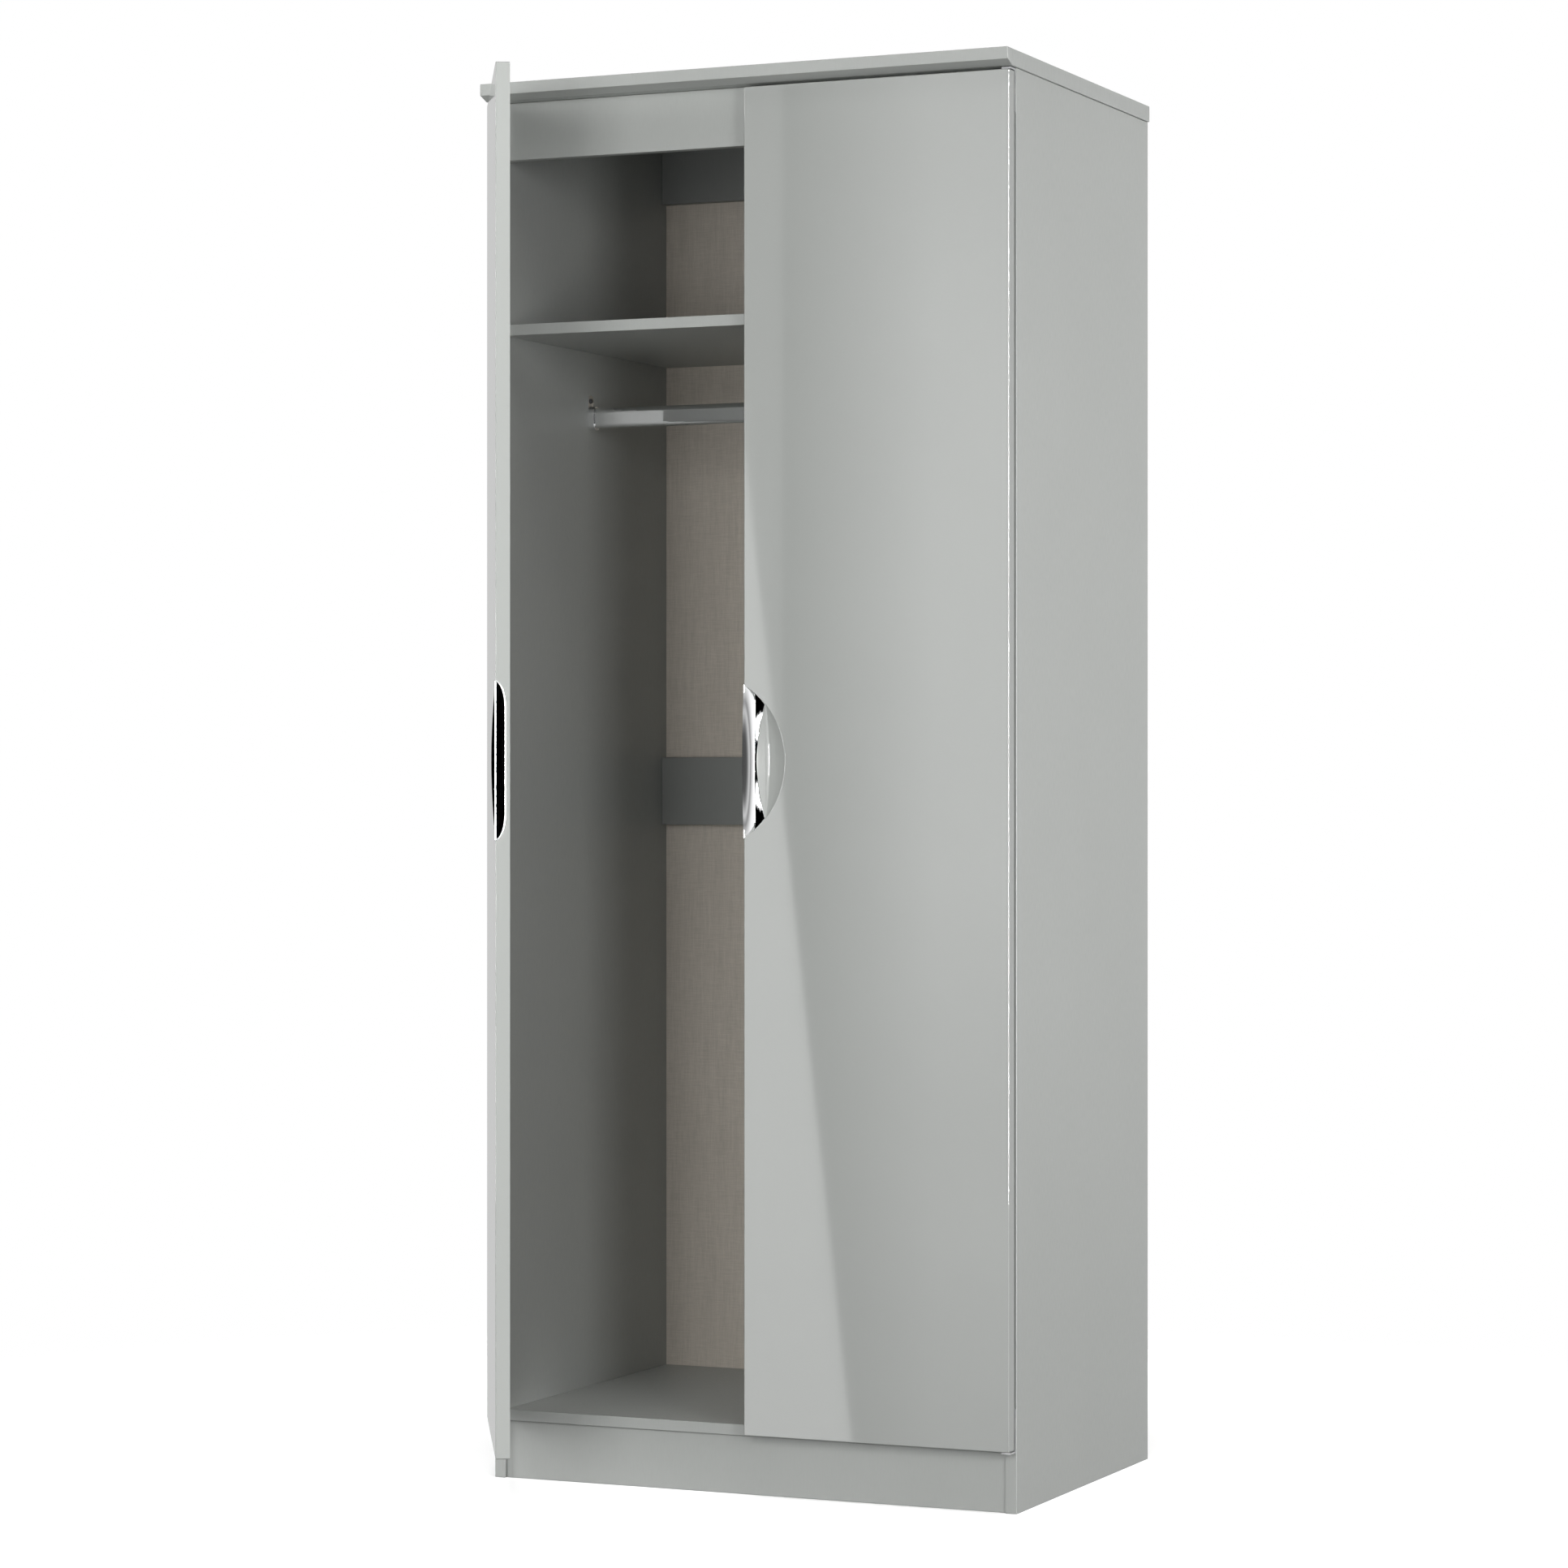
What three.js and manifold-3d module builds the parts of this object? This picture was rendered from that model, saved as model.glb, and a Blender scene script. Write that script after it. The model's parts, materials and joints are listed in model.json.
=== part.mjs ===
// Two-door wardrobe: a board carcass with a shelf and a hanging rail, and two flush slab doors that
// turn on pivot brackets and are pulled by half-round chrome handles let into their meeting edges.
//
// Millimetres, +Z up. The wardrobe is laid out with x = 0 on its centre line, y = 0 on the front
// edges of its side panels (the doors are at negative y) and z = 0 on the floor. The last lines move
// the finished group so that its origin is the middle of the bottom of its bounding box.

import * as THREE from 'three';
import { RoundedBoxGeometry } from 'three/addons/geometries/RoundedBoxGeometry.js';
import { mergeVertices } from 'three/addons/utils/BufferGeometryUtils.js';
import Module from 'manifold-3d';

const wasm = await Module();
wasm.setup();

// ---------------------------------------------------------------- driving dimensions

const totalHeight = 1825;
const carcassWidth = 733;
const carcassDepth = 495;
const gap = 0.3;                      // clearance between pieces that touch
const boardEdge = 0.8;                // eased edge of a board

const sideThickness = 15;
const railThickness = 15;
const shelfThickness = 14.5;
const backThickness = 2.7;
const rebateDepth = 3;                // rebate that holds the back panel, measured along y
const rebateWidth = 8;                // and along x

const topThickness = 21;
const topSideOverhang = 2.5;
const topFrontOverhang = 38;
const topBevelRun = 17;               // sloped underside of the front edge, along y
const topBevelRise = 6;               // and along z

const floorTop = 90;
const plinthInset = 5;
const shelfTop = 1513.5;
const fasciaHeight = 75.2;
const braceBottom = 853.5;
const braceHeight = 95;

const rodWidth = 15;                  // oval hanging rail, along y
const rodHeight = 28;                 // and along z
const rodWall = 1.2;
const rodCentreY = 248;
const rodCentreZ = 1409;
const socketBase = 2;
const socketDepth = 11;
const socketWall = 1.8;
const socketTabRadius = 8;
const socketScrewZ = rodCentreZ + 24;

const doorBottom = 79.5;
const doorTop = 1800;
const doorThickness = 18;
const doorStandOff = 5;               // from the carcass front to the back of a closed door
const doorReveal = 1.5;               // side panel left showing beside a closed door
const doorMeetingGap = 6;
const doorEdgeRadius = 3;             // rounding between the face of a door and its edges
const doorCornerRadius = 3.5;         // and at its corners, seen from the front
const leftDoorOpen = 60.6;            // degrees that the left door stands open at rest

const pivotFromEdge = 5;              // pivot axis, measured from the outer edge of the door
const pivotFromFace = 10;             // and from its front face
const pivotRadius = 2;
const pivotLength = 11;               // reach of the stud into the end of the door
const bushRadius = 3.5;
const bushLength = 12;
const bracketThickness = 2.2;
const bracketWidth = 12;
const bracketLeg = 52;                // long leg, up or down the edge of the side panel
const bracketReach = 17;              // short leg, out from the carcass front
const bracketClearance = 0.8;         // between the short leg and the end of the door
const bracketScrewFromDoorEnd = 42;

const handleHeight = 195;
const handleWidth = 58;
const handleDepth = 11.5;
const handleWall = 2;
const handleSteps = 8;                // facets across the rounded wall of the cup
const handleFlatRadius = 78.7;        // the cup bottom is flat inside this radius
const lipWidth = 13.3;
const lipProud = 5;
const lipRoot = 0.5;                  // depth of the lip that merges with the plug below it

const dowelRadius = 4;
const dowelLength = 30;
const dowelInSide = 10;               // part of a dowel that is in the side panel

const screwShankRadius = 1.5;
const screwHeadRadius = 3.4;
const screwHeadHeight = 2.1;
const screwTip = 2;                   // length of the pointed end
const screwLength = 10;
const countersinkRim = 0.2;           // straight edge of a countersunk head
const countersinkDepth = 2;

const bumperRadius = 4;
const bumperThickness = 4.2;
const bumperFromEdge = 170;           // from the meeting edge of the door
const bumperFromBottom = 5;           // lower bumper, above the bottom of the door
const bumperFromTop = 12;             // upper bumper, below the top of the door

// ---------------------------------------------------------------- derived dimensions

const halfCarcass = carcassWidth / 2;
const innerHalf = halfCarcass - sideThickness;
const boardHalf = innerHalf - gap;
const topUnderside = totalHeight - topThickness;
const sideTop = topUnderside - gap;
const boardBack = carcassDepth - rebateDepth - gap;
const floorBottom = floorTop - shelfThickness;
const shelfBottom = shelfTop - shelfThickness;
const topRailBottom = sideTop - fasciaHeight;
const doorFace = -doorStandOff - doorThickness;
const doorOuter = halfCarcass - doorReveal;
const doorInner = doorMeetingGap / 2;
const doorHeight = doorTop - doorBottom;
const doorMiddle = (doorTop + doorBottom) / 2;
const bumperFront = -doorStandOff + (doorStandOff - gap - bumperThickness) / 2;
const screwHoleRadius = screwShankRadius + gap;
const pivotX = doorOuter - pivotFromEdge;
const pivotY = doorFace + pivotFromFace;
const handleRadius = (handleHeight ** 2 / 4 + handleWidth ** 2) / (2 * handleWidth);
const handleAxisOffset = handleRadius - handleWidth;

// ---------------------------------------------------------------- materials

function finish(color, roughness, metalness) {
  return new THREE.MeshStandardMaterial({ color, roughness, metalness });
}

const glossDoor = () => finish('#b4b8b4', 0.18, 0);
const greyBoard = () => finish('#a9ada9', 0.45, 0);
const darkBoard = () => finish('#747874', 0.45, 0);
const linenBoard = () => finish('#8a8176', 0.85, 0);
const chrome = () => finish('#dfe2e3', 0.06, 1);
const steel = () => finish('#9a9da0', 0.35, 1);
const nylon = () => finish('#e6e4dc', 0.5, 0);
const rubber = () => finish('#c9cbc8', 0.7, 0);
const beech = () => finish('#c49a6b', 0.7, 0);

// ---------------------------------------------------------------- solids

// Turns a closed three.js geometry into a manifold solid.
function solid(geometry) {
  const shell = geometry.clone();
  shell.deleteAttribute('normal');
  shell.deleteAttribute('uv');
  const merged = mergeVertices(shell, 1e-4);
  return new wasm.Manifold(new wasm.Mesh({
    numProp: 3,
    vertProperties: Float32Array.from(merged.attributes.position.array),
    triVerts: Uint32Array.from(merged.index.array),
  }));
}

// Turns a manifold solid back into a three.js geometry.
function surface(body) {
  const { vertProperties, triVerts } = body.getMesh();
  const geometry = new THREE.BufferGeometry();
  geometry.setAttribute('position', new THREE.BufferAttribute(Float32Array.from(vertProperties), 3));
  geometry.setIndex(new THREE.BufferAttribute(Uint32Array.from(triVerts), 1));
  geometry.computeVertexNormals();
  return geometry;
}

const centreOf = (range) => (range[0] + range[1]) / 2;
const sizeOf = (range) => range[1] - range[0];

// A sharp-edged block between two x, two y and two z values.
function block(x, y, z) {
  const geometry = new THREE.BoxGeometry(sizeOf(x), sizeOf(y), sizeOf(z));
  geometry.translate(centreOf(x), centreOf(y), centreOf(z));
  return solid(geometry);
}

// A board with eased edges between two x, two y and two z values.
function board(x, y, z) {
  const geometry = new RoundedBoxGeometry(sizeOf(x), sizeOf(y), sizeOf(z), 1, boardEdge);
  geometry.translate(centreOf(x), centreOf(y), centreOf(z));
  return solid(geometry);
}

// A cylinder along one axis ('x', 'y' or 'z') with its middle at a point.
function cylinder(radius, length, axis, middle, segments = 16) {
  const geometry = new THREE.CylinderGeometry(radius, radius, length, segments);
  if (axis === 'x') geometry.rotateZ(Math.PI / 2);
  if (axis === 'z') geometry.rotateX(Math.PI / 2);
  geometry.translate(...middle);
  return solid(geometry);
}

// Extrudes an outline drawn in the y-z plane along x, from x = start.
function extrudeAlongX(outline, start, length, options = {}) {
  const geometry = new THREE.ExtrudeGeometry(outline, { depth: length, bevelEnabled: false, ...options });
  geometry.applyMatrix4(new THREE.Matrix4().makeBasis(
    new THREE.Vector3(0, 1, 0),
    new THREE.Vector3(0, 0, 1),
    new THREE.Vector3(1, 0, 0),
  ));
  geometry.translate(start, 0, 0);
  return solid(geometry);
}

// Revolves a profile of [radius, y] points about an axis along y through a point.
function revolveAboutY(points, axisX, axisZ, segments = 72) {
  const profile = points.map(([radius, y]) => new THREE.Vector2(radius, y));
  const geometry = new THREE.LatheGeometry(profile, segments);
  geometry.translate(axisX, 0, axisZ);
  return solid(geometry);
}

// ---------------------------------------------------------------- dowels

// Each row is one pair of dowels, left and right: the board they hold, and their y and z.
const boardDowels = [
  ['floor_front', 60, floorBottom + shelfThickness / 2],
  ['floor_back', 435, floorBottom + shelfThickness / 2],
  ['shelf_front', 60, shelfTop - shelfThickness / 2],
  ['shelf_back', 435, shelfTop - shelfThickness / 2],
  ['fascia', railThickness / 2, topRailBottom + fasciaHeight / 2],
  ['back_rail', boardBack - railThickness / 2, topRailBottom + fasciaHeight / 2],
  ['brace', boardBack - railThickness / 2, braceBottom + braceHeight / 2],
  ['plinth', plinthInset + railThickness / 2, floorBottom / 2],
];
const topDowelRows = [
  ['top_front', 70],
  ['top_back', 425],
];
const sides = [
  ['left', -1],
  ['right', 1],
];
const ends = [
  ['lower', -1],
  ['upper', 1],
];
const boardDowelMiddle = innerHalf + dowelInSide - dowelLength / 2;
const topDowelX = halfCarcass - sideThickness / 2;
const topDowelMiddle = topUnderside + dowelInSide - dowelLength / 2;

function boardDowelCutter(side, y, z) {
  return cylinder(dowelRadius + gap, dowelLength + 2 * gap, 'x', [side * boardDowelMiddle, y, z]);
}

function topDowelCutter(side, y) {
  return cylinder(dowelRadius + gap, dowelLength + 2 * gap, 'z', [side * topDowelX, y, topDowelMiddle]);
}

// Bores the holes of the dowels whose names start with a prefix into both ends of a board.
function drillEnds(body, prefix) {
  let drilled = body;
  for (const [name, y, z] of boardDowels) {
    if (!name.startsWith(prefix)) continue;
    for (const [, side] of sides) {
      drilled = drilled.subtract(boardDowelCutter(side, y, z));
    }
  }
  return drilled;
}

// ---------------------------------------------------------------- carcass boards


function sidePanel(side) {
  const outerX = side * halfCarcass;
  const innerX = side * innerHalf;
  const span = [Math.min(outerX, innerX), Math.max(outerX, innerX)];
  let panel = board(span, [0, carcassDepth], [0, sideTop]);

  const rebateInner = innerX - side;
  const rebateOuter = innerX + side * rebateWidth;
  const rebateSpan = [Math.min(rebateInner, rebateOuter), Math.max(rebateInner, rebateOuter)];
  panel = panel.subtract(block(
    rebateSpan,
    [carcassDepth - rebateDepth, carcassDepth + 1],
    [floorBottom - gap, sideTop + 1],
  ));
  for (const [, y, z] of boardDowels) {
    panel = panel.subtract(boardDowelCutter(side, y, z));
  }
  for (const [, y] of topDowelRows) {
    panel = panel.subtract(topDowelCutter(side, y));
  }
  const screwHole = [innerX + side * screwLength / 2, rodCentreY, socketScrewZ];
  panel = panel.subtract(cylinder(screwHoleRadius, screwLength + 1, 'x', screwHole, 12));
  for (const z of [bracketScrewZ(-1), bracketScrewZ(1)]) {
    const bracketHole = [side * bracketCentreX, screwLength / 2, z];
    panel = panel.subtract(cylinder(screwHoleRadius, screwLength + 1, 'y', bracketHole, 12));
  }
  return panel;
}

function topPanel() {
  const outline = new THREE.Shape();
  outline.moveTo(-topFrontOverhang, totalHeight);
  outline.lineTo(-topFrontOverhang, topUnderside + topBevelRise);
  outline.lineTo(-topFrontOverhang + topBevelRun, topUnderside);
  outline.lineTo(carcassDepth, topUnderside);
  outline.lineTo(carcassDepth, totalHeight);
  outline.closePath();
  const length = carcassWidth + 2 * topSideOverhang;
  let panel = extrudeAlongX(outline, -length / 2 + boardEdge, length - 2 * boardEdge, {
    bevelEnabled: true,
    bevelThickness: boardEdge,
    bevelSize: boardEdge,
    bevelOffset: -boardEdge,
    bevelSegments: 1,
  });
  for (const [, side] of sides) {
    for (const [, y] of topDowelRows) {
      panel = panel.subtract(topDowelCutter(side, y));
    }
  }
  return panel;
}

// The boards that run between the side panels: their y and z ranges, and the dowels in their ends.
const fullDepth = [0, boardBack];
const atBack = [boardBack - railThickness, boardBack];
const crossBoards = {
  floor_panel: [fullDepth, [floorBottom, floorTop], 'floor'],
  shelf: [fullDepth, [shelfBottom, shelfTop], 'shelf'],
  plinth: [[plinthInset, plinthInset + railThickness], [0, floorBottom - gap], 'plinth'],
  fascia: [[0, railThickness], [topRailBottom, sideTop], 'fascia'],
  back_top_rail: [atBack, [topRailBottom, sideTop], 'back_rail'],
  back_brace: [atBack, [braceBottom, braceBottom + braceHeight], 'brace'],
};
const darkBoards = ['back_top_rail', 'back_brace'];

function crossBoard([y, z, dowelPrefix]) {
  return drillEnds(board([-boardHalf, boardHalf], y, z), dowelPrefix);
}

function backPanel() {
  const reach = innerHalf + rebateWidth - gap;
  return block([-reach, reach], [carcassDepth - backThickness, carcassDepth], [floorBottom, sideTop]);
}

// ---------------------------------------------------------------- hanging rail

// An upright oval (two half circles joined by straight sides) in the y-z plane about the rail's axis.
function ovalOutline(outline, width, fullHeight) {
  const radius = width / 2;
  const straight = (fullHeight - width) / 2;
  outline.absarc(rodCentreY, rodCentreZ + straight, radius, 0, Math.PI, false);
  outline.absarc(rodCentreY, rodCentreZ - straight, radius, Math.PI, 2 * Math.PI, false);
  outline.closePath();
  return outline;
}

function hangingRail() {
  const outline = ovalOutline(new THREE.Shape(), rodWidth, rodHeight);
  outline.holes.push(ovalOutline(new THREE.Path(), rodWidth - 2 * rodWall, rodHeight - 2 * rodWall));
  const reach = innerHalf - socketBase - 2 * gap;
  return extrudeAlongX(outline, -reach, 2 * reach, { curveSegments: 10 });
}

// The rail's end socket: a flat base with a screw tab above it, and a cup round the end of the rail.
function railSocket(side) {
  const wallX = side * (innerHalf - gap);
  const baseX = wallX - side * socketBase;
  const mouthX = wallX - side * socketDepth;
  const base = [Math.min(wallX, baseX), Math.max(wallX, baseX)];
  const cup = [Math.min(wallX, mouthX), Math.max(wallX, mouthX)];
  const outerWidth = rodWidth + 2 * (socketWall + gap);
  const outerHeight = rodHeight + 2 * (socketWall + gap);

  const outer = ovalOutline(new THREE.Shape(), outerWidth, outerHeight);
  const bore = ovalOutline(new THREE.Shape(), rodWidth + 2 * gap, rodHeight + 2 * gap);
  const pocket = extrudeAlongX(bore, cup[0] - 1, sizeOf(cup) + 2, { curveSegments: 10 });
  const ring = extrudeAlongX(outer, cup[0], sizeOf(cup), { curveSegments: 10 }).subtract(pocket);

  const tabMiddle = [centreOf(base), rodCentreY, socketScrewZ];
  const tabFoot = [rodCentreZ, socketScrewZ];
  const plate = extrudeAlongX(outer, base[0], socketBase, { curveSegments: 10 })
    .add(cylinder(socketTabRadius, socketBase, 'x', tabMiddle, 24))
    .add(block(base, [rodCentreY - socketTabRadius, rodCentreY + socketTabRadius], tabFoot));
  return ring.add(plate).subtract(cylinder(screwHoleRadius, 3 * socketBase, 'x', tabMiddle, 12));
}

// A pan-head screw whose head is on the -y side, its shank pointing along +y from the origin.
function screw(length) {
  const points = [
    [0, length],
    [screwShankRadius * 0.3, length],
    [screwShankRadius, length - screwTip],
    [screwShankRadius, 0],
    [screwHeadRadius, 0],
    [screwHeadRadius, -screwHeadHeight * 0.4],
    [screwHeadRadius * 0.8, -screwHeadHeight * 0.8],
    [screwHeadRadius * 0.35, -screwHeadHeight],
    [0, -screwHeadHeight],
  ];
  const profile = points.map(([radius, y]) => new THREE.Vector2(radius, y));
  return new THREE.LatheGeometry(profile.reverse(), 12);
}

// A countersunk screw whose flat head is level with y = 0, its shank pointing along +y. grow widens
// it, and above lifts its head, for the hole that takes it.
function countersunkProfile(length, grow = 0, above = 0) {
  return [
    [0, -above],
    [screwHeadRadius + grow, -above],
    [screwHeadRadius + grow, countersinkRim],
    [screwShankRadius + grow, countersinkDepth],
    [screwShankRadius + grow, length - screwTip],
    [screwShankRadius * 0.3 + grow, length],
    [0, length],
  ];
}

function countersunkScrew(length) {
  const profile = countersunkProfile(length).map(([radius, y]) => new THREE.Vector2(radius, y));
  return new THREE.LatheGeometry(profile, 16);
}

// ---------------------------------------------------------------- doors

// The round plug shape of a handle, as a solid of revolution cut off flat at the door's edge.
// grow widens it, and above lifts its front past the face of the door.
function handlePlug(side, grow, above) {
  const points = [[0, doorFace - above]];
  points.push([handleRadius + grow, doorFace - above]);
  for (let step = 0; step <= handleSteps; step += 1) {
    const share = 1 - step / handleSteps;
    const radius = handleFlatRadius + share * (handleRadius - handleFlatRadius);
    const depth = handleDepth * (1 - share ** 2);
    points.push([radius + grow, doorFace + depth + grow]);
  }
  points.push([0, doorFace + handleDepth + grow]);
  return revolveAboutY(points, side * (doorInner - handleAxisOffset), doorMiddle);
}

const doorSpan = (side) => (side > 0 ? [doorInner, doorOuter] : [-doorOuter, -doorInner]);

function door(side) {
  const x = doorSpan(side);
  const outline = new THREE.Shape();
  const halfWidth = sizeOf(x) / 2;
  const halfHeight = doorHeight / 2;
  const round = doorCornerRadius;
  outline.absarc(halfWidth - round, halfHeight - round, round, 0, Math.PI / 2, false);
  outline.absarc(-halfWidth + round, halfHeight - round, round, Math.PI / 2, Math.PI, false);
  outline.absarc(-halfWidth + round, -halfHeight + round, round, Math.PI, 1.5 * Math.PI, false);
  outline.absarc(halfWidth - round, -halfHeight + round, round, 1.5 * Math.PI, 2 * Math.PI, false);
  outline.closePath();
  const slab = new THREE.ExtrudeGeometry(outline, {
    depth: doorThickness,
    bevelEnabled: true,
    bevelThickness: doorEdgeRadius,
    bevelSize: doorEdgeRadius,
    bevelOffset: -doorEdgeRadius,
    bevelSegments: 4,
    curveSegments: 4,
  });
  slab.rotateX(Math.PI / 2);
  slab.translate(centreOf(x), doorFace + doorThickness + doorEdgeRadius, doorMiddle);

  let body = solid(slab).intersect(block(
    [x[0] - 1, x[1] + 1],
    [doorFace - 1, -doorStandOff],
    [doorBottom - 1, doorTop + 1],
  ));
  body = body.subtract(handlePlug(side, gap, 2));
  const boreLength = 2 * (bushLength + gap);
  for (const z of [doorBottom, doorTop]) {
    const boreMiddle = [side * pivotX, pivotY, z];
    body = body.subtract(cylinder(bushRadius + gap, boreLength, 'z', boreMiddle, 20));
  }
  return body;
}

// The chrome cup: the plug hollowed out behind a swelling lip along the door's edge.
function handle(side) {
  const edge = side * doorInner;
  const axisX = side * (doorInner - handleAxisOffset);
  const lipEnd = edge + side * lipWidth;
  const farX = edge + side * (handleWidth + 5);
  const inDoor = [Math.min(edge, farX), Math.max(edge, farX)];
  const behindLip = [Math.min(lipEnd, farX), Math.max(lipEnd, farX)];
  const z = [doorMiddle - handleHeight, doorMiddle + handleHeight];

  const plug = handlePlug(side, 0, 0).intersect(block(inDoor, [doorFace - 1, 0], z));

  const points = [[0, doorFace - 1]];
  points.push([handleRadius - handleWall, doorFace - 1]);
  for (let step = 0; step <= handleSteps; step += 1) {
    const angle = (step / handleSteps) * (Math.PI / 2);
    const flat = handleFlatRadius - 2 * handleWall;
    const radius = flat + Math.cos(angle) * (handleRadius - handleWall - flat);
    points.push([radius, doorFace + Math.sin(angle) * (handleDepth - handleWall)]);
  }
  points.push([0, doorFace + handleDepth - handleWall]);
  const scoop = revolveAboutY(points, axisX, doorMiddle)
    .intersect(block(behindLip, [doorFace - 2, 0], z));

  const swell = new THREE.SphereGeometry(1, 12, 28);
  swell.rotateX(Math.PI / 2);
  swell.scale(lipWidth, lipProud, handleHeight / 2);
  swell.translate(edge, doorFace, doorMiddle);
  const rimFront = doorFace - 2 * lipProud;
  const rim = [[0, rimFront], [handleRadius - gap, rimFront], [handleRadius - gap, 0], [0, 0]];
  const lip = solid(swell)
    .intersect(block(inDoor, [rimFront, doorFace + lipRoot], z))
    .intersect(revolveAboutY(rim, axisX, doorMiddle));
  return plug.subtract(scoop).add(lip);
}

// ---------------------------------------------------------------- pivot hardware

const bracketCentreX = halfCarcass - sideThickness / 2;
const bracketFront = -gap - bracketThickness;

// Height of the screw in the lower (end = -1) or upper (end = 1) bracket.
function bracketScrewZ(end) {
  return end < 0 ? doorBottom + bracketScrewFromDoorEnd : doorTop - bracketScrewFromDoorEnd;
}

// An angle bracket on the front edge of a side panel. Its short leg passes the end of the door and
// carries the pivot stud.
function pivotBracket(side, end) {
  const doorEnd = end < 0 ? doorBottom : doorTop;
  const near = doorEnd + end * bracketClearance;
  const far = near + end * bracketThickness;
  const legEnd = doorEnd - end * bracketLeg;
  const x = [side * bracketCentreX - bracketWidth / 2, side * bracketCentreX + bracketWidth / 2];
  const upright = block(x, [bracketFront, -gap], [Math.min(far, legEnd), Math.max(far, legEnd)]);
  const shortLeg = block(x, [-bracketReach, -gap], [Math.min(near, far), Math.max(near, far)]);
  const studEnd = doorEnd - end * pivotLength;
  const studMiddle = [side * pivotX, pivotY, (far + studEnd) / 2];
  const stud = cylinder(pivotRadius, Math.abs(far - studEnd), 'z', studMiddle, 16);
  const hole = countersunkProfile(screwLength, gap, 1).map(([radius, y]) => [radius, y + bracketFront]);
  return upright.add(shortLeg).add(stud)
    .subtract(revolveAboutY(hole, side * bracketCentreX, bracketScrewZ(end), 16));
}

// The sleeve in the end of a door that its pivot stud turns in.
function pivotBush(side, end) {
  const doorEnd = end < 0 ? doorBottom : doorTop;
  const middle = [side * pivotX, pivotY, doorEnd - end * bushLength / 2];
  return cylinder(bushRadius, bushLength, 'z', middle, 20)
    .subtract(cylinder(pivotRadius + gap, bushLength + 2, 'z', middle, 16));
}

// A soft disc on the back of a door, at its meeting edge.
function doorBumper(side, end) {
  const z = end < 0 ? doorBottom + bumperFromBottom : doorTop - bumperFromTop;
  const middle = [side * (doorInner + bumperFromEdge), bumperFront + bumperThickness / 2, z];
  return cylinder(bumperRadius, bumperThickness, 'y', middle, 16);
}

// ---------------------------------------------------------------- assembly

const wardrobe = new THREE.Group();

// Adds a named mesh to a group. offset takes the layout position of the group's own origin away.
function place(group, name, geometry, material, offset = [0, 0, 0]) {
  const mesh = new THREE.Mesh(geometry, material);
  mesh.name = name;
  mesh.position.set(-offset[0], -offset[1], -offset[2]);
  group.add(mesh);
  return mesh;
}

for (const [name, side] of sides) {
  place(wardrobe, `${name}_side_panel`, surface(sidePanel(side)), greyBoard());
}
place(wardrobe, 'top_panel', surface(topPanel()), greyBoard());
for (const [name, placing] of Object.entries(crossBoards)) {
  const paint = darkBoards.includes(name) ? darkBoard : greyBoard;
  place(wardrobe, name, surface(crossBoard(placing)), paint());
}
place(wardrobe, 'back_panel', surface(backPanel()), linenBoard());
place(wardrobe, 'hanging_rail', surface(hangingRail()), chrome());

for (const [name, side] of sides) {
  place(wardrobe, `rail_socket_${name}`, surface(railSocket(side)), chrome());

  const socketScrew = place(wardrobe, `rail_socket_screw_${name}`, screw(screwLength), steel());
  socketScrew.rotation.z = side > 0 ? -Math.PI / 2 : Math.PI / 2;
  const headSeat = innerHalf - socketBase - 2 * gap;
  socketScrew.position.set(side * headSeat, rodCentreY, socketScrewZ);

  for (const [row, y, z] of boardDowels) {
    const dowel = cylinder(dowelRadius, dowelLength, 'x', [side * boardDowelMiddle, y, z]);
    place(wardrobe, `dowel_${row}_${name}`, surface(dowel), beech());
  }
  for (const [row, y] of topDowelRows) {
    const dowel = cylinder(dowelRadius, dowelLength, 'z', [side * topDowelX, y, topDowelMiddle]);
    place(wardrobe, `dowel_${row}_${name}`, surface(dowel), beech());
  }
}

for (const [name, side] of sides) {
  for (const [level, end] of ends) {
    place(wardrobe, `pivot_bracket_${name}_${level}`, surface(pivotBracket(side, end)), steel());
    const bracketScrew = countersunkScrew(screwLength);
    bracketScrew.translate(side * bracketCentreX, bracketFront, bracketScrewZ(end));
    place(wardrobe, `bracket_screw_${name}_${level}`, bracketScrew, steel());
  }
}

for (const [name, side] of sides) {
  const pivot = [side * pivotX, pivotY, 0];
  const swing = new THREE.Group();
  swing.position.set(...pivot);
  swing.rotation.z = side < 0 ? -THREE.MathUtils.degToRad(leftDoorOpen) : 0;
  place(swing, `${name}_door`, surface(door(side)), glossDoor(), pivot);
  place(swing, `${name}_handle`, surface(handle(side)), chrome(), pivot);
  for (const [level, end] of ends) {
    place(swing, `pivot_bush_${name}_${level}`, surface(pivotBush(side, end)), nylon(), pivot);
    place(swing, `door_bumper_${name}_${level}`, surface(doorBumper(side, end)), rubber(), pivot);
  }
  wardrobe.add(swing);
}

// The origin goes to the middle of the bottom of the bounding box, with the left door open.
wardrobe.updateMatrixWorld(true);
const bounds = new THREE.Box3().setFromObject(wardrobe, true);
const middle = bounds.getCenter(new THREE.Vector3());
wardrobe.position.set(-middle.x, -middle.y, -bounds.min.z);
wardrobe.updateMatrixWorld(true);

export default wardrobe;
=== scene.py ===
"""A double wardrobe in a plain studio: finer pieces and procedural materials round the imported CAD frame.

Metres, +Z up, the doors towards -Y. "Closed place" below means where a door's piece is with the door
shut; the left door's pieces are made there and then turned with it about its pivot.
"""

import json
import math

import bmesh
import bpy
from mathutils import Matrix, Vector

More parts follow.
